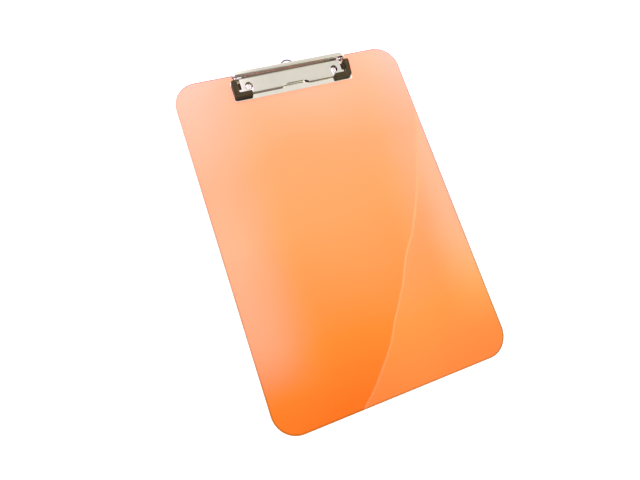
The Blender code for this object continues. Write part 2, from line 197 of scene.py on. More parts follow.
def smoothed(obj, sharp=None):
    """Smooth shading in which the large faces keep their own direction."""
    obj.data.shade_smooth()
    if sharp:
        obj.data.set_sharp_from_angle(angle=math.radians(sharp))
    step = obj.modifiers.new("Weighted", "WEIGHTED_NORMAL")
    step.keep_sharp = True
    apply_modifiers(obj)
    return obj


def apply_modifiers(obj):
    graph = bpy.context.evaluated_depsgraph_get()
    mesh = bpy.data.meshes.new_from_object(obj.evaluated_get(graph))
    old = obj.data
    obj.modifiers.clear()
    obj.data = mesh
    bpy.data.meshes.remove(old)


def boolean(obj, other, operation):
    step = obj.modifiers.new(operation.title(), "BOOLEAN")
    step.operation = operation
    step.solver = "MANIFOLD"
    step.object = other
    apply_modifiers(obj)
    bpy.data.objects.remove(other, do_unlink=True)
    return obj


# Outlines


def disc(centre, radius, count=64):
    turns = [2 * math.pi * i / count for i in range(count)]
    return [(centre[0] + radius * math.cos(a), centre[1] + radius * math.sin(a)) for a in turns]


def rounded(corners, radii, steps=8):
    """A polygon whose corners are arcs, each of its own radius."""
    out = []
    for i, corner in enumerate(corners):
        here = Vector(corner)
        before = (Vector(corners[i - 1]) - here).normalized()
        after = (Vector(corners[(i + 1) % len(corners)]) - here).normalized()
        radius = radii[i] if isinstance(radii, (list, tuple)) else radii
        if radius <= 0:
            out.append(here)
            continue
        half = before.angle(after) / 2
        centre = here + (before + after).normalized() * (radius / math.sin(half))
        start = here + before * (radius / math.tan(half)) - centre
        turn = start.angle_signed(here + after * (radius / math.tan(half)) - centre)
        out += [centre + Matrix.Rotation(-turn * k / steps, 2) @ start for k in range(steps + 1)]
    return out


def mirrored(half_outline, radii):
    """Both halves of an outline given for x > 0, front to back."""
    other = [(-x, y) for x, y in reversed(half_outline)]
    return list(half_outline) + other, list(radii) + list(reversed(radii))


def signed_area(loop):
    return sum(a[0] * b[1] - a[1] * b[0] for a, b in zip(loop, loop[1:] + loop[:1])) / 2


def outward(loop):
    """The mitred direction away from the material at each point of a loop with the material on its left."""
    out = []
    for i, point in enumerate(loop):
        a = (point - loop[i - 1]).normalized()
        b = (loop[(i + 1) % len(loop)] - point).normalized()
        first, second = Vector((a.y, -a.x)), Vector((b.y, -b.x))
        out.append((first + second) / max(1 + first.dot(second), 0.3))
    return out


def inset(loops, depth):
    """The loops, an outline and its holes, moved into the material."""
    out = []
    for i, loop in enumerate(loops):
        spots = [Vector(p) for p in loop]
        if (signed_area(loop) > 0) != (i == 0):
            spots.reverse()
        out.append([p - away * depth for p, away in zip(spots, outward(spots))])
    return out


def inside(point, loops):
    """True if a line from the point crosses the loops an odd number of times."""
    crossings = 0
    for loop in loops:
        for a, b in zip(loop, loop[1:] + loop[:1]):
            if (a[1] > point[1]) != (b[1] > point[1]):
                crossings += point[0] < a[0] + (point[1] - a[1]) / (b[1] - a[1]) * (b[0] - a[0])
    return crossings % 2 == 1


def filled(loops, lines=()):
    """Points and triangles between an outline and its holes, with edges along the lines too."""
    points, edges = [], []
    for loop in loops:
        first = len(points)
        points += loop
        edges += [(first + i, first + (i + 1) % len(loop)) for i in range(len(loop))]
    for start, end in lines:
        edges.append((len(points), len(points) + 1))
        points += [Vector(start), Vector(end)]
    spots, _, faces, *_ = geometry.delaunay_2d_cdt(points, edges, [], 0, 1e-5)
    kept = [f for f in faces if inside(sum((spots[i] for i in f), Vector((0, 0))) / 3, loops)]
    return spots, kept


def borders(faces):
    """The loops of edges that only one triangle has, with the material on their left."""
    directed = {(f[i], f[(i + 1) % 3]) for f in faces for i in range(3)}
    following = dict(sorted((a, b) for a, b in directed if (b, a) not in directed))
    loops = []
    while following:
        start = here = min(following)
        loop = []
        while here in following:
            loop.append(here)
            here = following.pop(here)
        if here == start:
            loops.append(loop)
    return loops


def steady(value):
    """A function of a flat point that is the same everywhere."""
    return lambda u, v: value


def sheet(shape, loops, place, thickness, edge, lines=(), steps=4):
    """Adds a closed sheet with round edges. place turns a flat point into (middle point, direction up).
    thickness is a number or a function of the flat point."""
    if not callable(thickness):
        thickness = steady(thickness)
    spots, faces = filled(inset(loops, edge), lines)
    used = sorted({i for f in faces for i in f})
    index = {old: new for new, old in enumerate(used)}
    spots = [spots[i] for i in used]
    faces = [tuple(index[i] for i in f) for f in faces]

    def lifted(spot, drop, upward):
        middle, up = place(spot.x, spot.y)
        return middle + up * upward * (thickness(spot.x, spot.y) / 2 - drop)

    top = shape.add(lifted(p, 0, 1) for p in spots)
    low = shape.add(lifted(p, 0, -1) for p in spots)
    shape.faces += [tuple(top[i] for i in f) for f in faces]
    shape.faces += [tuple(low[i] for i in reversed(f)) for f in faces]
    turns = [math.pi / 2 * k / steps for k in range(1, steps + 1)]
    for loop in borders(faces):
        away = outward([spots[i] for i in loop])
        rings = [[top[i] for i in loop]]
        for upward, order in ((1, turns), (-1, turns[::-1])):
            for turn in order:
                reach, drop = edge * math.sin(turn), edge * (1 - math.cos(turn))
                moved = [spots[i] + a * reach for i, a in zip(loop, away)]
                rings.append(shape.add(lifted(p, drop, upward) for p in moved))
        rings.append([low[i] for i in loop])
        for upper, lower in zip(rings, rings[1:]):
            shape.bridge(lower, upper)


def level(height):
    """A place function for a flat sheet at that height."""
    return lambda u, v: (Vector((u, v, height)), Vector((0, 0, 1)))


def upright(x):
    """A place function for a sheet in the plane of the board's side, laid out as (y, z)."""
    return lambda u, v: (Vector((x, u, v)), Vector((1, 0, 0)))


def eased(share):
    share = min(max(share, 0.0), 1.0)
    return share * share * (3 - 2 * share)


def through(points, steps=5):
    """A smooth line through the points."""
    out = []
    spots = [Vector(p) for p in points]
    spots = [spots[0] * 2 - spots[1], *spots, spots[-1] * 2 - spots[-2]]
    for before, a, b, after in zip(spots, spots[1:], spots[2:], spots[3:]):
        for k in range(steps):
            t = k / steps
            out.append(0.5 * (2 * a + (b - before) * t + (2 * before - 5 * a + 4 * b - after) * t**2
                              + (3 * a - before - 3 * b + after) * t**3))
    return out + [spots[-2]]


class Bend:
    """A line of straight runs and round bends in the side view, walked by its length."""

    def __init__(self, corners, radii, steps):
        corners = [Vector(c) for c in corners]
        runs = [(b - a).normalized() for a, b in zip(corners, corners[1:])]
        self.spots, self.turns = [corners[0]], [runs[0]]
        for corner, before, after, radius in zip(corners[1:], runs, runs[1:], radii):
            angle = before.angle_signed(after)
            reach = radius * math.tan(abs(angle) / 2)
            centre = corner + (after - before).normalized() * (radius / math.cos(angle / 2))
            start = corner - before * reach - centre
            for k in range(steps + 1):
                spin = Matrix.Rotation(-angle * k / steps, 2)
                self.spots.append(centre + spin @ start)
                self.turns.append(spin @ before)
        self.spots.append(corners[-1])
        self.turns.append(runs[-1])
        self.marks = [0.0]
        for a, b in zip(self.spots, self.spots[1:]):
            self.marks.append(self.marks[-1] + (b - a).length)

    def at(self, length):
        """The point there and the direction a quarter turn to the left of the line."""
        i = max(k for k in range(len(self.marks) - 1) if self.marks[k] <= max(length, 0))
        share = (length - self.marks[i]) / (self.marks[i + 1] - self.marks[i])
        point = self.spots[i].lerp(self.spots[i + 1], share)
        along = self.turns[i].lerp(self.turns[i + 1], min(max(share, 0), 1)).normalized()
        return point, Vector((-along.y, along.x))

    def where(self, axis, value):
        """The length at which the line first reaches that y (axis 0) or height (axis 1)."""
        for i, (a, b) in enumerate(zip(self.spots, self.spots[1:])):
            if a[axis] <= value <= b[axis] and b[axis] > a[axis]:
                return self.marks[i] + (value - a[axis]) / (b[axis] - a[axis]) * (b - a).length
        raise ValueError(f"the line never reaches {value}")


def lathe(shape, profile, centre, across=(1, 0, 0), along=(0, 0, 1), count=64, closed=False):
    """Turns (radius, height) pairs about a line through the centre. A radius of 0 closes an end."""
    along = Vector(along)
    across = Vector(across)
    third = along.cross(across)
    rings = []
    for radius, height in profile:
        middle = Vector(centre) + along * height
        turns = [2 * math.pi * i / count for i in range(count)] if radius > 1e-6 else [0]
        spots = [middle + radius * (across * math.cos(a) + third * math.sin(a)) for a in turns]
        rings.append(shape.add(spots))
    pairs = list(zip(rings, rings[1:] + rings[:1]))
    for low, high in pairs if closed else pairs[:-1]:
        for i in range(count):
            j = (i + 1) % count
            if len(low) == 1:
                shape.faces.append((low[0], high[j], high[i]))
            elif len(high) == 1:
                shape.faces.append((low[i], low[j], high[0]))
            else:
                shape.faces.append((low[i], low[j], high[j], high[i]))


# Pieces


def starting_at(shape, loop, spot):
    """The loop of point numbers, started at the point nearest to the spot as seen from above."""
    first = min(range(len(loop)), key=lambda i: (shape.points[loop[i]].xy - spot).length)
    return loop[first:] + loop[:first]


def make_board():
    """A moulded panel with round corners and edges, and a stepped hole for each rivet."""
    wide, long = BOARD_HIGH.x, BOARD_HIGH.y
    outline = rounded([(-wide, -long), (wide, -long), (wide, long), (-wide, long)], CORNER_R, 40)
    shape = Shape()
    levels = {}
    for height, radius, facing in ((FRONT, HOLE_R, 1), (0.0, SEAT_R, -1)):
        holes = [disc((s * RIVET_X, RIVET_Y), radius) for _, s in SIDES]
        trimmed = inset([outline], EDGE_R) + inset([outline, *holes], 0)[1:]
        spots, faces = filled(trimmed)
        made = shape.add((p.x, p.y, height) for p in spots)
        shape.faces += [tuple(made[i] for i in (f if facing > 0 else reversed(f))) for f in faces]
        levels[height] = [[made[i] for i in loop] for loop in borders(faces)]
    loops = {height: sorted(found, key=lambda loop: -len(loop)) for height, found in levels.items()}
    rim = [Vector(p) for p in outline]
    low_rim, rings = loops[0.0][0], [loops[FRONT][0]]
    start = min(range(len(rim)), key=lambda i: (rim[i] - shape.points[rings[0][0]].xy).length)
    rim = rim[start:] + rim[:start]
    away = outward(rim)
    for k in range(1, 2 * EDGE_STEPS):
        turn = math.pi / 2 * min(k, 2 * EDGE_STEPS - k) / EDGE_STEPS
        depth, drop = EDGE_R * (1 - math.sin(turn)), EDGE_R * (1 - math.cos(turn))
        height = FRONT - drop if k <= EDGE_STEPS else drop
        rings.append(shape.add((p.x - a.x * depth, p.y - a.y * depth, height) for p, a in zip(rim, away)))
        if k == EDGE_STEPS:
            rings.append(shape.add((p.x, p.y, EDGE_R) for p in rim))
    rings.append(starting_at(shape, low_rim, shape.points[rings[0][0]].xy))
    for upper, lower in zip(rings, rings[1:]):
        shape.bridge(lower, upper)
    for loop in loops[FRONT][1:]:
        centre = sum((shape.points[i].xy for i in loop), Vector((0, 0))) / len(loop)
        match = min(loops[0.0][1:], key=lambda other: (shape.points[other[0]].xy - centre).length)
        spokes = [(shape.points[i].xy - centre).normalized() for i in loop]
        inner = shape.add((*(centre + d * HOLE_R), SEAT_DEPTH) for d in spokes)
        outer = shape.add((*(centre + d * SEAT_R), SEAT_DEPTH) for d in spokes)
        match = starting_at(shape, match, centre + spokes[0] * SEAT_R)
        for upper, lower in zip((loop, inner, outer), (inner, outer, match)):
            shape.bridge(lower, upper)
    return shape.made("board_panel", 40)


def base_place(u, v):
    """The base's flat layout, with the channel pressed up and the ears bent up."""
    middle = BASE_LOW.z + SHEET_T / 2
    flat_end = EAR_X - EAR_BEND
    if abs(u) > flat_end and v > WING_BACK + 0.1:
        side = math.copysign(1, u)
        past = abs(u) - flat_end
        arc = EAR_BEND * math.pi / 2
        turn = min(past / EAR_BEND, math.pi / 2)
        x = flat_end + EAR_BEND * math.sin(turn)
        z = middle + EAR_BEND * (1 - math.cos(turn)) + max(past - arc, 0)
        return Vector((side * x, v, z)), Vector((-side * math.sin(turn), 0, math.cos(turn)))

    def rise(x, y):
        half = CHANNEL_HALF + (MOUTH_HALF - CHANNEL_HALF) * eased((y - MOUTH_Y) / MOUTH_RAMP)
        wall = eased((half + CHANNEL_WALL / 2 - abs(x)) / CHANNEL_WALL)
        return CHANNEL_RISE * wall * eased((y - CHANNEL_FRONT) / CHANNEL_RAMP)

    slope_x = (rise(u + SLOPE_STEP, v) - rise(u - SLOPE_STEP, v)) / (2 * SLOPE_STEP)
    slope_y = (rise(u, v + SLOPE_STEP) - rise(u, v - SLOPE_STEP)) / (2 * SLOPE_STEP)
    return Vector((u, v, middle + rise(u, v))), Vector((-slope_x, -slope_y, 1)).normalized()


def make_base():
    """A plate with two ears for the rod and a channel for the loop, cut along its bends and ramps."""
    middle = BASE_LOW.z + SHEET_T / 2
    arc_start = EAR_X - EAR_BEND
    arc_end = arc_start + EAR_BEND * math.pi / 2
    eye = arc_end + HINGE.z - middle - EAR_BEND
    wing, front, back = BASE_HIGH.x, BASE_LOW.y, BASE_HIGH.y
    ear_low, ear_high = HINGE.y - EAR_R, HINGE.y + EAR_R
    half = [(wing, front), (wing, WING_BACK), (EAR_ROOT, WING_BACK), (EAR_ROOT, ear_low)]
    cap = [(eye + EAR_R * math.sin(math.pi * k / 24), HINGE.y - EAR_R * math.cos(math.pi * k / 24))
           for k in range(25)]
    half += cap + [(EAR_ROOT - 1, back)]
    radii = [1.6, 1.2, 0.25, 0.25] + [0] * (len(cap) + 1)
    outline = rounded(*mirrored(half, radii), 6)
    holes = [disc((s * RIVET_X, RIVET_Y), HOLE_R) for _, s in SIDES]
    holes += [disc((s * eye, HINGE.y), BORE_R, 40) for _, s in SIDES]
    lines = []
    for k in range(BEND_STEPS + 1):
        u = arc_start + (arc_end - arc_start) * k / BEND_STEPS
        lines += [((s * u, ear_low - 0.2), (s * u, ear_high + 0.2)) for _, s in SIDES]
    wall_x = [7.5 + 0.25 * k for k in range(18)]
    ramp_y = [CHANNEL_FRONT + 0.2 * k for k in range(9)] + [MOUTH_Y + 0.2 * k for k in range(5)]
    lines += [((s * x, CHANNEL_FRONT), (s * x, back + 1)) for x in wall_x for _, s in SIDES]
    lines += [((-12, y), (12, y)) for y in ramp_y]
    lines += [((x, CHANNEL_FRONT), (x, back + 1)) for x in (-9, -6, -3, 0, 3, 6, 9)]
    shape = Shape()
    sheet(shape, [outline, *holes], base_place, SHEET_T, SHEET_EDGE, lines)
    return shape.made("clip_base_plate", 50)


def make_jaw():
    """One bent sheet from the lip to the lever, and an ear at each end that turns on the rod."""
    line = Bend([(y, FRONT + h) for y, h in JAW_LINE], JAW_BENDS, BEND_STEPS)

    def at_y(y):
        return line.where(0, y)

    def at_height(height):
        return line.where(1, FRONT + height)

    half = [(LIP_HALF, 0), (LIP_HALF, at_y(TAB_LIP)), (TAB_IN, at_y(TAB_LIP)), (TAB_IN, at_y(TAB_FRONT)),
            (TAB_HALF, at_y(TAB_FRONT)), (TAB_HALF, at_y(TAB_BACK)), (PLATE_HALF, at_y(TAB_BACK)),
            (PLATE_HALF, at_height(RELIEF_LOW)), (RELIEF_IN, at_height(RELIEF_LOW)),
            (RELIEF_IN, at_height(RELIEF_HIGH)), (LEVER_HALF, at_height(RELIEF_HIGH)),
            (LEVER_HALF, line.marks[-1])]
    radii = [0.5, 0.8, 0.4, 0.4, 0.8, 0.4, 0.6, 0.5, 0.85, 0.85, 0.5, 0.35]
    corners, radii = mirrored(half, radii)
    notch = [(-NOTCH_HALF, 0), (-NOTCH_HALF, NOTCH_FRONT), (-NOTCH_TOP_HALF, at_y(NOTCH_BACK)),
             (NOTCH_TOP_HALF, at_y(NOTCH_BACK)), (NOTCH_HALF, NOTCH_FRONT), (NOTCH_HALF, 0)]
    corners += [(NOTCH_X + x, s) for x, s in notch]
    radii += [0.7, 1.2, 4.0, 4.0, 1.2, 0.7]
    holes = []
    for _, s in SIDES:
        spots = disc((s * RIVET_X, RIVET_Y), VIEW_HOLE_R, 72)
        holes.append([(x, at_y(y)) for x, y in spots])
    lines = [((-70, mark), (70, mark)) for mark in line.marks[1:-1]]

    def place(u, v):
        point, up = line.at(v)
        return Vector((u, point.x, point.y)), Vector((0, up.x, up.y))

    shape = Shape()
    sheet(shape, [rounded(corners, radii, 8), *holes], place, SHEET_T, SHEET_EDGE, lines)
    top = [(y, FRONT + h) for y, h in JAW_EAR_TOP]
    turns = [math.radians(12 - 204 * k / 30) for k in range(31)]
    arc = [(HINGE.y + JAW_EAR_R * math.cos(a), HINGE.z + JAW_EAR_R * math.sin(a)) for a in turns]
    for _, s in SIDES:
        loops = [top + arc, disc((HINGE.y, HINGE.z), BORE_R, 40)]
        sheet(shape, loops, upright(s * JAW_EAR_X), SHEET_T, SHEET_EDGE)
    return shape.made("jaw_plate", 50)


def pad_top(y):
    """How high the rubber stands above the board's front at y."""
    line = through(PAD_TOP, 6)
    for a, b in zip(line, line[1:]):
        if a.x <= y <= b.x:
            return a.y + (b.y - a.y) * (y - a.x) / (b.x - a.x)
    return line[0].y if y < line[0].x else line[-1].y


def make_pad(word, s):
    """A rubber corner: a wedge that grips the jaw's tab in a slot, and a thin sole under the plate."""
    foot, front, back, outer = PAD_LOW.z, PAD_LOW.y, PAD_HIGH.y, PAD_HIGH.x
    outline = [(PAD_END, front), (outer, front), (outer, back), (PAD_IN, back), (PAD_IN, PAD_INNER),
               (PAD_END, PAD_INNER)]
    outline = rounded([(s * x, y) for x, y in outline], [1.0, 2.0, 1.6, 1.0, 1.0, 1.0], 8)

    def place(u, v):
        return Vector((u, v, (foot + FRONT + pad_top(v)) / 2)), Vector((0, 0, 1))

    def thickness(u, v):
        return FRONT + pad_top(v) - foot

    lines = [((s * 35, front + 0.5 * k), (s * 60, front + 0.5 * k)) for k in range(1, 32)]
    shape = Shape()
    sheet(shape, [outline], place, thickness, PAD_EDGE, lines, 6)
    pad = shape.made(f"rubber_corner_{word}")
    sole = [(SOLE_IN, SOLE_FRONT), (SOLE_OUT, SOLE_FRONT), (SOLE_OUT, SOLE_BACK), (SOLE_CUT[0], SOLE_BACK),
            (SOLE_IN, SOLE_CUT[1])]
    sole = rounded([(s * x, y) for x, y in sole], [0.5, 0.3, 0.3, 1.2, 1.5], 6)
    shape = Shape()
    sheet(shape, [sole], level(foot + SOLE_T / 2 + SOLE_LIFT), SOLE_T, 0.25)
    boolean(pad, shape.made("sole"), "UNION")
    slope = math.atan2(JAW_LINE[2][1] - JAW_LINE[1][1], JAW_LINE[2][0] - JAW_LINE[1][0])
    start = Vector((SLOT_FRONT, FRONT + JAW_LINE[1][1] + math.sin(slope) * SLOT_SET))
    end = start + Vector((math.cos(slope), math.sin(slope))) * SLOT_LENGTH
    gap = Vector((-math.sin(slope), math.cos(slope))) * (SHEET_T / 2 + SLOT_PLAY)
    side = [start - gap, end - gap, end + gap, start + gap]
    shape = Shape()
    rings = [shape.add((x, p.x, p.y) for p in side) for x in (s * SLOT_IN, s * (TAB_HALF + SLOT_PAST))]
    shape.bridge(*rings)
    shape.faces += [tuple(rings[0]), tuple(rings[1])]
    boolean(pad, shape.made("slot", 30), "DIFFERENCE")
    return smoothed(pad, 50)


def make_rivet(word, s):
    """A hollow rivet: a dished head with a rolled rim in front, and its clinched end behind."""
    seat = BASE_LOW.z + SHEET_T
    profile = [(max(r, 0), seat + z) for r, z in through(RIVET_HEAD, 6)]
    profile.append((RIVET_NECK[0], seat + RIVET_NECK[1]))
    profile += [tuple(p) for p in through(RIVET_TAIL, 5)]
    profile += RIVET_BORE
    profile[0] = (0, profile[0][1])
    shape = Shape()
    lathe(shape, profile, (s * RIVET_X, RIVET_Y, 0))
    rivet = shape.made(f"rivet_body_{word}", 50)
    shape = Shape()
    lathe(shape, WASHER, (s * RIVET_X, RIVET_Y, 0), closed=True)
    return rivet, shape.made(f"washer_{word}", 50)


def make_rod():
    """A straight pin with both ends headed over."""
    end, ear = ROD_HIGH.x, EAR_X + SHEET_T / 2
    head = through([(ROD_R + 0.02, ear + 0.08), (1.55, ear + 0.12), (1.74, ear + 0.3), (1.7, ear + 0.55),
                    (1.4, end - 0.12), (0.8, end - 0.02), (0.0, end)], 4)
    half = [(ROD_R, 0), (ROD_R, ear * 0.5), (ROD_R, ear)] + [tuple(p) for p in head]
    half[-1] = (0, end)
    profile = [(r, -x) for r, x in reversed(half[1:])] + half
    shape = Shape()
    lathe(shape, profile, (0, HINGE.y, HINGE.z), (0, 1, 0), (1, 0, 0), 48)
    return shape.made("hinge_pin", 50)


def make_spring(word, s):
    """A coil round the pin, with one leg on the base and the other end under the lever."""
    path = through(LEG, 4)
    for k in range(int(COIL_STEPS * (COIL_TURNS + LAST_TURN)) + 1):
        angle = -math.pi / 2 + 2 * math.pi * k / COIL_STEPS
        out = COIL_PITCH * k / COIL_STEPS
        path.append(Vector((out, COIL_R * math.cos(angle), COIL_R * math.sin(angle))))
    ahead = (path[-1] - path[-2]).normalized()
    path += [path[-1] + ahead * reach for reach in (0.35, 0.7, 1.0)]
    shape = Shape()
    rings = []
    for i, point in enumerate(path):
        along = (path[min(i + 1, len(path) - 1)] - path[max(i - 1, 0)]).normalized()
        across = Vector((1, 0, 0))
        across = (across - along * across.dot(along)).normalized()
        third = along.cross(across)
        turns = [2 * math.pi * k / WIRE_SIDES for k in range(WIRE_SIDES)]
        spots = [point + WIRE_R * (across * math.cos(a) + third * math.sin(a)) for a in turns]
        rings.append(shape.add(HINGE + Vector((s * (COIL_START + p.x), p.y, p.z)) for p in spots))
    for low, high in zip(rings, rings[1:]):
        shape.bridge(low, high)
    shape.faces += [tuple(rings[0]), tuple(rings[-1])]
    return shape.made(f"spring_coil_{word}", 50)


def make_loop():
    """A stamped eye on a tongue whose shoulders keep it in the base's channel."""
    low, high = LOOP_LOW, LOOP_HIGH
    centre_y = high.y - LOOP_R
    turns = [math.radians(13 + 154 * k / 44) for k in range(45)]
    outline = [(SHOULDER_HALF, low.y), (SHOULDER_HALF, SHOULDER_BACK), (TONGUE_HALF, SHOULDER_BACK)]
    arc = [(LOOP_R * math.cos(a), centre_y + LOOP_R * math.sin(a)) for a in turns]
    corners = outline + arc + [(-x, y) for x, y in reversed(outline)]
    radii = [1.0, 0.5, 0.3] + [0] * len(arc) + [0.3, 0.5, 1.0]
    shape = Shape()
    loops = [rounded(corners, radii, 6), disc((0, centre_y), LOOP_HOLE_R, 80)]
    sheet(shape, loops, level((low.z + high.z) / 2), high.z - low.z, 0.26, steps=5)
    return shape.made("hanging_eye", 50)


# Materials


def new_material(name):
    material = bpy.data.materials.new(name)
    material.use_nodes = True
    tree = material.node_tree
    return material, tree, tree.nodes["Principled BSDF"]


def linked(tree, kind, **inputs):
    """A node of that kind. Each input is a value or another node's output, and i0 means input number 0."""
    node = tree.nodes.new(kind)
    for name, value in inputs.items():
        numbered = name[0] == "i" and name[1:].isdigit()
        socket = node.inputs[int(name[1:]) if numbered else name]
        if isinstance(value, bpy.types.NodeSocket):
            tree.links.new(value, socket)
        else:
            socket.default_value = value
    return node


def place_in(tree, scale=(1, 1, 1)):
    where = tree.nodes.new("ShaderNodeTexCoord").outputs["Object"]
    return linked(tree, "ShaderNodeMapping", Vector=where, Scale=scale).outputs["Vector"]


def noise(tree, vector, scale, detail=3.0, rough=0.5):
    node = linked(tree, "ShaderNodeTexNoise", Vector=vector, Scale=scale, Detail=detail, Roughness=rough)
    return node.outputs["Fac"]


def ranged(tree, value, low, high, start=0.3, end=0.7):
    node = linked(tree, "ShaderNodeMapRange", i0=value, i1=start, i2=end, i3=low, i4=high)
    return node.outputs[0]


def mixed(tree, share, first, second, blend="MIX"):
    node = tree.nodes.new("ShaderNodeMix")
    node.data_type, node.blend_type = "RGBA", blend
    tree.links.new(share, node.inputs["Factor"])
    for socket, colour in ((node.inputs[6], first), (node.inputs[7], second)):
        if isinstance(colour, bpy.types.NodeSocket):
            tree.links.new(colour, socket)
        else:
            socket.default_value = (*colour, 1)
    return node.outputs[2]


def bumped(tree, height, strength, distance):
    node = linked(tree, "ShaderNodeBump", Height=height, Strength=strength, Distance=distance)
    return node.outputs["Normal"]


def soft_step(tree, value, start, end, low, high):
    node = linked(tree, "ShaderNodeMapRange", i0=value, i1=start, i2=end, i3=low, i4=high)
    node.interpolation_type = "SMOOTHSTEP"
    return node.outputs[0]


def combined(tree, operation, first, second=0.0):
    node = linked(tree, "ShaderNodeMath", i0=first, i1=second)
    node.operation = operation
    return node.outputs[0]


def product(tree, first, *others):
    for other in others:
        first = combined(tree, "MULTIPLY", first, other)
    return first


def border_shade_share(tree):
    """Painted shade: 0 over the board, 1 along its very border, where the tint is darkened to stand for
    light that has come a long way through the plastic.
    """
    reach = tree.nodes.new("ShaderNodeTexCoord").outputs["Object"]
    centre = ((BOARD_HIGH.x - CORNER_R) * MM, (BOARD_HIGH.y - CORNER_R) * MM, 1)
    zero = (0, 0, 0)
    steps = (("ABSOLUTE", zero), ("SUBTRACT", centre), ("MAXIMUM", zero), ("LENGTH", zero))
    for operation, second in steps:
        node = linked(tree, "ShaderNodeVectorMath", i0=reach, i1=second)
        node.operation = operation
        reach = node.outputs[0]
    start, end = (CORNER_R - BORDER_IN) * MM, (CORNER_R - BORDER_OUT) * MM
    return soft_step(tree, node.outputs["Value"], start, end, 0, 1)


def plastic():
    """Clear tinted plastic with painted light in its tint, deeper at the near end and a little paler
    towards the clip, a painted shade along its border, and faint handling marks in its gloss.
    """
    material, tree, shader = new_material("board_plastic")
    split = tree.nodes.new("ShaderNodeSeparateXYZ")
    tree.links.new(tree.nodes.new("ShaderNodeTexCoord").outputs["Object"], split.inputs[0])
    along = ranged(tree, split.outputs["Y"], 0.0, 1.0, -0.16, 0.16)
    drift = noise(tree, place_in(tree), 6.0, 1.0)
    share = linked(tree, "ShaderNodeMath", i0=along, i1=ranged(tree, drift, -0.06, 0.06))
    share.operation = "ADD"
    share.use_clamp = True
    # Painted light and shade: the ramp runs from deep at the near end to pale towards the clip
    ramp = linked(tree, "ShaderNodeValToRGB", Fac=share.outputs[0])
    for position, _ in TINTS_WITH_PAINTED_LIGHT[1:-1]:
        ramp.color_ramp.elements.new(position)
    for stop, (position, colour) in zip(ramp.color_ramp.elements, TINTS_WITH_PAINTED_LIGHT):
        stop.color = (*colour, 1)
    tint_with_painted_light = ramp.outputs["Color"]
    facing = linked(tree, "ShaderNodeSeparateXYZ", i0=tree.nodes["Texture Coordinate"].outputs["Normal"])
    # Painted shade along the border, weaker towards the clip
    towards_clip = soft_step(tree, split.outputs["Y"], 0.0, 0.15, 1, 0.35)
    border = combined(tree, "MULTIPLY", border_shade_share(tree), towards_clip)
    tint_with_painted_light = mixed(tree, border, tint_with_painted_light, EDGE_PAINTED_SHADE, "MULTIPLY")
    tree.links.new(tint_with_painted_light, shader.inputs["Base Color"])
    shader.inputs["Transmission Weight"].default_value = 1.0
    shader.inputs["IOR"].default_value = 1.49
    marks = noise(tree, place_in(tree, (1, 0.35, 1)), 140.0, 4.0, 0.6)
    gloss = ranged(tree, marks, 0.015, 0.05, 0.45, 0.75)
    flat = combined(tree, "ABSOLUTE", facing.outputs["Z"])
    satin = soft_step(tree, flat, 0.75, 0.97, 0.42, 0.0)
    tree.links.new(combined(tree, "MAXIMUM", gloss, satin), shader.inputs["Roughness"])
    swell = noise(tree, place_in(tree), 16.0, 1.0)
    tree.links.new(bumped(tree, swell, 0.12, 0.002), shader.inputs["Normal"])
    # Shadow rays pass through with the root of the tint, its painted light and shade included
    half_tint_with_painted_light = linked(tree, "ShaderNodeGamma", Color=tint_with_painted_light, Gamma=0.5).outputs[0]
    lamp = linked(tree, "ShaderNodeBsdfTransparent", Color=half_tint_with_painted_light)
    rays = tree.nodes.new("ShaderNodeLightPath").outputs["Is Shadow Ray"]
    both = linked(tree, "ShaderNodeMixShader", i0=rays, i1=shader.outputs[0], i2=lamp.outputs[0])
    tree.links.new(both.outputs[0], tree.nodes["Material Output"].inputs["Surface"])
    return material


def metal(name, light, dark, smooth, rough, grain=(1, 1, 1), grain_scale=700.0, bump=0.05):
    """Metal whose tone, gloss and fine surface all vary a little. grain stretches the fine marks."""
    material, tree, shader = new_material(name)
    tone = noise(tree, place_in(tree), 90.0, 2.0)
    tree.links.new(mixed(tree, ranged(tree, tone, 0, 1), light, dark), shader.inputs["Base Color"])
    shader.inputs["Metallic"].default_value = 1.0
    marks = noise(tree, place_in(tree, grain), grain_scale, 5.0, 0.6)
    tree.links.new(ranged(tree, marks, smooth, rough), shader.inputs["Roughness"])
    tree.links.new(bumped(tree, marks, bump, 0.0001), shader.inputs["Normal"])
    return material


def rubber():
    """Satin moulded rubber with a fine grain and a dusty bloom in places."""
    material, tree, shader = new_material("corner_rubber")
    bloom = noise(tree, place_in(tree), 260.0, 4.0, 0.6)
    tone = mixed(tree, ranged(tree, bloom, 0, 1, 0.4, 0.8), (0.028, 0.021, 0.007), (0.052, 0.038, 0.014))
    tree.links.new(tone, shader.inputs["Base Color"])
    tree.links.new(ranged(tree, bloom, 0.34, 0.5), shader.inputs["Roughness"])
    grain = linked(tree, "ShaderNodeTexVoronoi", Vector=place_in(tree), Scale=2600.0).outputs["Distance"]
    tree.links.new(bumped(tree, grain, 0.25, 0.00012), shader.inputs["Normal"])
    shader.inputs["Specular IOR Level"].default_value = 0.25
    shader.inputs["Specular Tint"].default_value = (1, 1, 0.55, 1)
    return material


def dress(obj, material, body, node):
    """Gives the piece its material and its body, and hides the CAD node that it stands for."""
    obj.data.materials.clear()
    obj.data.materials.append(material)
    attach(obj, body)
    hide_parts(node)


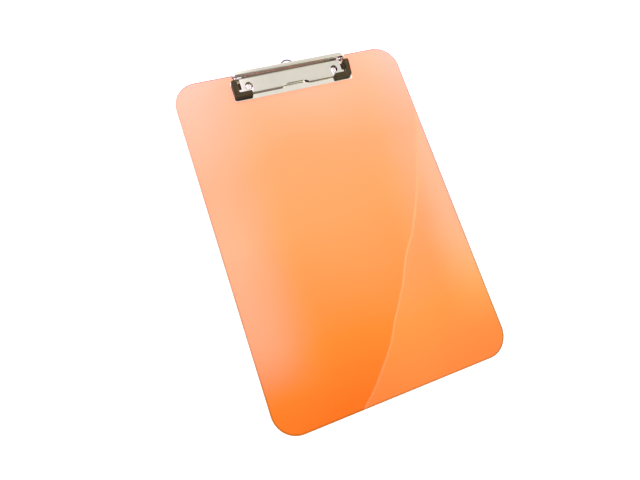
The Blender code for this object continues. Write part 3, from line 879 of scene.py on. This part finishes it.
def build():
    nickel = metal("nickel_plate", (0.84, 0.795, 0.705), (0.79, 0.765, 0.69), 0.05, 0.11, (0.05, 1, 1),
                   bump=0.02)
    steel = metal("rod_steel", (0.66, 0.65, 0.63), (0.54, 0.54, 0.54), 0.14, 0.3, (0.1, 1, 1), 900.0)
    wire = metal("spring_steel", (0.55, 0.55, 0.56), (0.42, 0.42, 0.43), 0.2, 0.38)
    dull = metal("loop_steel", (0.27, 0.265, 0.27), (0.21, 0.205, 0.215), 0.16, 0.3, grain_scale=900.0)
    black = rubber()
    dress(make_board(), plastic(), "board", "board")
    dress(make_base(), nickel, "board", "clip_base")
    dress(make_rod(), steel, "board", "hinge_rod")
    dress(make_jaw(), nickel, "jaw", "clamp_jaw")
    dress(make_loop(), dull, "loop", "hanger_loop")
    for word, side in SIDES:
        rivet, washer = make_rivet(word, side)
        dress(rivet, nickel, "board", f"rivet_{word}")
        dress(washer, steel, "board", f"rivet_washer_{word}")
        dress(make_pad(word, side), black, "jaw", f"corner_pad_{word}")
        spring = make_spring(word, side)
        spring.data.materials.append(wire)
        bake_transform(spring)
        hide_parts(f"torsion_spring_{word}")


# Studio


def make_camera():
    look = Vector(CAMERA_LOOK).normalized()
    right = look.cross(Vector(CAMERA_UP)).normalized()
    up = right.cross(look)
    data = bpy.data.cameras.new("camera")
    data.lens, data.sensor_width, data.clip_start = CAMERA_LENS, 36, 0.01
    camera = bpy.data.objects.new("camera", data)
    turn = Matrix((right, up, -look)).transposed().to_4x4()
    camera.matrix_world = Matrix.Translation(CAMERA_AT) @ turn
    bpy.context.scene.collection.objects.link(camera)
    bpy.context.scene.camera = camera


def area_light(name, at, size, power):
    """A square lamp aimed at the origin. It doesn't show in reflections or through the plastic."""
    data = bpy.data.lights.new(name, "AREA")
    data.shape, data.size, data.size_y = "RECTANGLE", size, size
    data.energy = power
    lamp = bpy.data.objects.new(name, data)
    lamp.location = at
    lamp.rotation_euler = (-Vector(at)).to_track_quat("-Z", "Y").to_euler()
    lamp.visible_camera = False
    lamp.visible_glossy = False
    lamp.visible_transmission = False
    bpy.context.scene.collection.objects.link(lamp)


def staged(name, points, faces, material):
    """A piece of the studio, in metres."""
    mesh = bpy.data.meshes.new(name)
    mesh.from_pydata(points, [], faces)
    mesh.materials.append(material)
    obj = bpy.data.objects.new(name, mesh)
    bpy.context.scene.collection.objects.link(obj)
    return obj


def glowing(name, light):
    """A material that gives light. light adds to its tree, and returns the glow's strength and colour and
    how much of what is behind it is covered, from 0 to 1."""
    material = bpy.data.materials.new(name)
    material.use_nodes = True
    tree = material.node_tree
    tree.nodes.remove(tree.nodes["Principled BSDF"])
    strength, colour, cover = light(tree)
    glow = linked(tree, "ShaderNodeEmission", Color=colour, Strength=strength)
    clear = linked(tree, "ShaderNodeBsdfTransparent")
    both = linked(tree, "ShaderNodeMixShader", i0=cover, i1=clear.outputs[0], i2=glow.outputs[0])
    tree.links.new(both.outputs[0], tree.nodes["Material Output"].inputs["Surface"])
    return material


def sky_light(tree):
    """Bright tents overhead on the left, on the right and beyond the clip, and a dark room in front."""
    place = tree.nodes.new("ShaderNodeTexCoord").outputs["Object"]
    unit = linked(tree, "ShaderNodeVectorMath", i0=place)
    unit.operation = "NORMALIZE"
    split = linked(tree, "ShaderNodeSeparateXYZ", i0=unit.outputs[0])
    x, y = split.outputs["X"], split.outputs["Y"]
    left = product(tree, soft_step(tree, x, 0.02, 0.2, SKY_LEFT, 0), soft_step(tree, x, -0.5, -0.3, 0, 1),
                   soft_step(tree, y, -0.21, -0.04, 0, 1), soft_step(tree, y, 0.0, 0.4, 1.7, 0.75))
    right = soft_step(tree, x, 0.40, 0.54, 0, SKY_RIGHT)
    sides = combined(tree, "ADD", left, right)
    far = soft_step(tree, y, 0.0, 0.33, SKY_BASE, SKY_BASE + SKY_FAR)
    rim = product(tree, soft_step(tree, y, 0.36, 0.44, 0, SKY_RIM), soft_step(tree, y, 0.47, 0.53, 1, 0))
    total = combined(tree, "ADD", sides, combined(tree, "ADD", far, rim))
    overhead = soft_step(tree, split.outputs["Z"], 0.45, 0.7, 0, 1)
    colour = mixed(tree, product(tree, soft_step(tree, sides, 0.1, 1.2, 0, 1), overhead), WARM, ROSE)
    return product(tree, total, soft_step(tree, y, -0.95, -0.45, SKY_DARK, 1)), colour, 1


def card_light(tree):
    """A card that glows more towards its far right, and fades out beyond what the photo's view reflects."""
    split = tree.nodes.new("ShaderNodeSeparateXYZ")
    tree.links.new(tree.nodes.new("ShaderNodeTexCoord").outputs["Object"], split.inputs[0])
    across = soft_step(tree, split.outputs["X"], 0.55, 0.72, 0, CARD_RISE)
    along = soft_step(tree, split.outputs["Y"], -0.3, 0.05, 0, 1)
    colour = mixed(tree, soft_step(tree, split.outputs["Y"], -0.25, 0.15, 0, 1), CARD_NEAR, ROSE)
    cover = product(tree, soft_step(tree, split.outputs["X"], 0.8, 1.15, 1, 0),
                    soft_step(tree, split.outputs["Y"], -0.75, -0.45, 0, 1),
                    soft_step(tree, split.outputs["Y"], 0.76, 0.85, 1, 0))
    return combined(tree, "ADD", combined(tree, "MULTIPLY", across, along), CARD_GLOW), colour, cover


def rim_light(tree):
    return RIM_GLOW, (*WARM, 1), 1


def make_studio():
    white, _, shader = new_material("floor_white")
    shader.inputs["Base Color"].default_value = (FLOOR_GREY, FLOOR_GREY, FLOOR_GREY, 1)
    shader.inputs["Roughness"].default_value = 0.9
    shader.inputs["Specular IOR Level"].default_value = 0.0
    shader.inputs["Emission Color"].default_value = (1, 1, 1, 1)
    shader.inputs["Emission Strength"].default_value = FLOOR_GLOW
    signs = ((-1, -1), (1, -1), (1, 1), (-1, 1))
    corners = [(x * FLOOR_HALF, y * FLOOR_HALF, -FLOOR_DROP) for x, y in signs]
    staged("floor", corners, [(0, 1, 2, 3)], white)

    bm = bmesh.new()
    bmesh.ops.create_uvsphere(bm, u_segments=48, v_segments=24, radius=TENT_R)
    points, faces = [v.co[:] for v in bm.verts], [[v.index for v in f.verts] for f in bm.faces]
    bm.free()
    tent = staged("light_tent", points, faces, glowing("tent_glow", sky_light))
    edge = through([(x, y, CARD_HEIGHT) for x, y in CARD_EDGE], 4)
    corners = edge + [Vector((x, y, CARD_HEIGHT)) for x, y in CARD_BEYOND]
    card = staged("card", corners, [tuple(range(len(corners)))], glowing("card_glow", card_light))
    strip = [p + Vector((-RIM_WIDTH, 0, -RIM_DROP)) for p in edge]
    strip += [p + Vector((0, 0, -RIM_DROP)) for p in edge[::-1]]
    rim = staged("card_rim", strip, [tuple(range(len(strip)))], glowing("rim_glow", rim_light))
    for obj in (tent, card, rim):
        obj.visible_camera = False

    world = bpy.data.worlds.new("studio")
    world.use_nodes = True
    world.node_tree.nodes["Background"].inputs["Color"].default_value = (1, 1, 1, 1)
    world.node_tree.nodes["Background"].inputs["Strength"].default_value = WORLD_GLOW
    bpy.context.scene.world = world
    area_light("left", (-1.3, 0.1, 1.0), 0.7, 7)
    area_light("right", (1.5, -0.6, 1.1), 0.7, 6)
    bpy.context.scene.view_settings.view_transform = "Standard"
    bpy.context.scene.view_settings.look = "None"


make_camera()
build()
make_studio()
